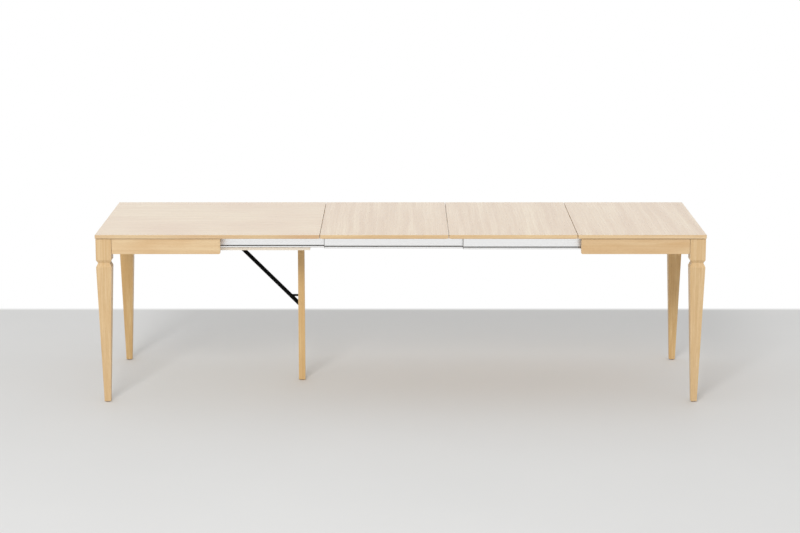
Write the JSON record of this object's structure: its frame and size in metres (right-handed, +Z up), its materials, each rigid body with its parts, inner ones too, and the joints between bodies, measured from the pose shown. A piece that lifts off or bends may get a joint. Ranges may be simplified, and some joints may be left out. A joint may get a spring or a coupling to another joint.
{
  "type": "extending dining table",
  "caption": "Extending dining table with waisted, tapered legs, loose leaves lying on telescoping aluminium rails, and a folding centre leg held by a slanted stay.",
  "frame": {"origin": "on the floor, at the middle of the table drawn out to its full length", "axes": "+X along the table from the main top towards the end frame that draws out, +Y from the front to the back, +Z up"},
  "size_m": [2.722, 0.9, 0.77],
  "materials": {
    "top_board": "satin pale oak, grain along the length",
    "leaf_board": "satin pale oak, grain across the length",
    "leg_wood": "satin lacquered oak staves",
    "frame_wood": "satin lacquered oak",
    "tray_board": "matt pale board",
    "rail_aluminium": "satin anodised",
    "black_steel": "black powder coat",
    "zinc_steel": "zinc plated",
    "cap_plastic": "grey moulded",
    "glide_plastic": "brown moulded",
    "nylon": "black nylon"
  },
  "bodies": {
    "left_frame": {"main_top": "top_board", "front_left_leg": "leg_wood", "back_left_leg": "leg_wood", "left_front_apron": "frame_wood", "left_back_apron": "frame_wood", "left_end_apron": "frame_wood", "front_fixed_rail": "rail_aluminium", "back_fixed_rail": "rail_aluminium", "fixed_rail_caps": "cap_plastic", "left_glides": "glide_plastic", "top_angles": "zinc_steel", "top_angle_screws": "zinc_steel", "rail_angles": "zinc_steel", "rail_angle_screws": "zinc_steel", "leaf_store_tray": "tray_board", "tray_screws": "zinc_steel", "leg_hinge_bracket": "black_steel", "hinge_bracket_screws": "zinc_steel", "leg_hinge_pin": "zinc_steel", "stay_track": "black_steel", "stay_track_screws": "zinc_steel"},
    "end_frame": {"front_right_leg": "leg_wood", "back_right_leg": "leg_wood", "right_front_apron": "frame_wood", "right_back_apron": "frame_wood", "right_end_apron": "frame_wood", "front_sliding_rail": "rail_aluminium", "back_sliding_rail": "rail_aluminium", "sliding_rail_caps": "cap_plastic", "rail_spacers": "frame_wood", "rail_spacer_screws": "zinc_steel", "right_glides": "glide_plastic"},
    "middle_rails": {"front_middle_rail": "rail_aluminium", "back_middle_rail": "rail_aluminium", "middle_rail_caps": "cap_plastic"},
    "leaf_1": {"leaf_1": "leaf_board"},
    "leaf_2": {"leaf_2": "leaf_board"},
    "leaf_3": {"leaf_3": "leaf_board"},
    "centre_leg": {"centre_leg": "leg_wood", "centre_leg_glide": "glide_plastic", "stay_pivot_pin": "zinc_steel", "stay_spacer_bush": "nylon", "catch_stud": "zinc_steel"},
    "stay": {"stay": "black_steel", "stay_roller": "nylon", "stay_roller_pin": "zinc_steel", "catch_pin": "black_steel"},
    "catch": {"stay_catch": "black_steel"}
  },
  "joints": [
    {"name": "end_frame_close", "type": "slide", "parent": "left_frame", "child": "end_frame", "axis": [-1, 0, 0], "range_m": [0, 1.606]},
    {"name": "middle_rail_close", "type": "slide", "parent": "left_frame", "child": "middle_rails", "axis": [-1, 0, 0], "range_m": [0, 0.988]},
    {"name": "leaf_1_lift", "type": "slide", "parent": "left_frame", "child": "leaf_1", "axis": [0, 0, 1], "range_m": [0, 0.3]},
    {"name": "leaf_2_lift", "type": "slide", "parent": "left_frame", "child": "leaf_2", "axis": [0, 0, 1], "range_m": [0, 0.3]},
    {"name": "leaf_3_lift", "type": "slide", "parent": "left_frame", "child": "leaf_3", "axis": [0, 0, 1], "range_m": [0, 0.3]},
    {"name": "centre_leg_fold", "type": "hinge", "parent": "left_frame", "child": "centre_leg", "pos_m": [-0.463, 0, 0.661], "axis": [0, 1, 0], "range_deg": [0, 90]},
    {"name": "stay_fold", "type": "hinge", "parent": "centre_leg", "child": "stay", "pos_m": [-0.463, 0, 0.348], "axis": [0, 1, 0], "range_deg": [-135, 0]},
    {"name": "catch_lift", "type": "hinge", "parent": "stay", "child": "catch", "pos_m": [-0.514, 0, 0.399], "axis": [0, 1, 0], "range_deg": [-135, 0]}
  ],
  "couplings": [
    {"joint": "middle_rail_close", "follows": "end_frame_close", "ratio": 0.6145},
    {"joint": "stay_fold", "follows": "centre_leg_fold", "ratio": -1.5},
    {"joint": "catch_lift", "follows": "centre_leg_fold", "ratio": -1.5}
  ]
}
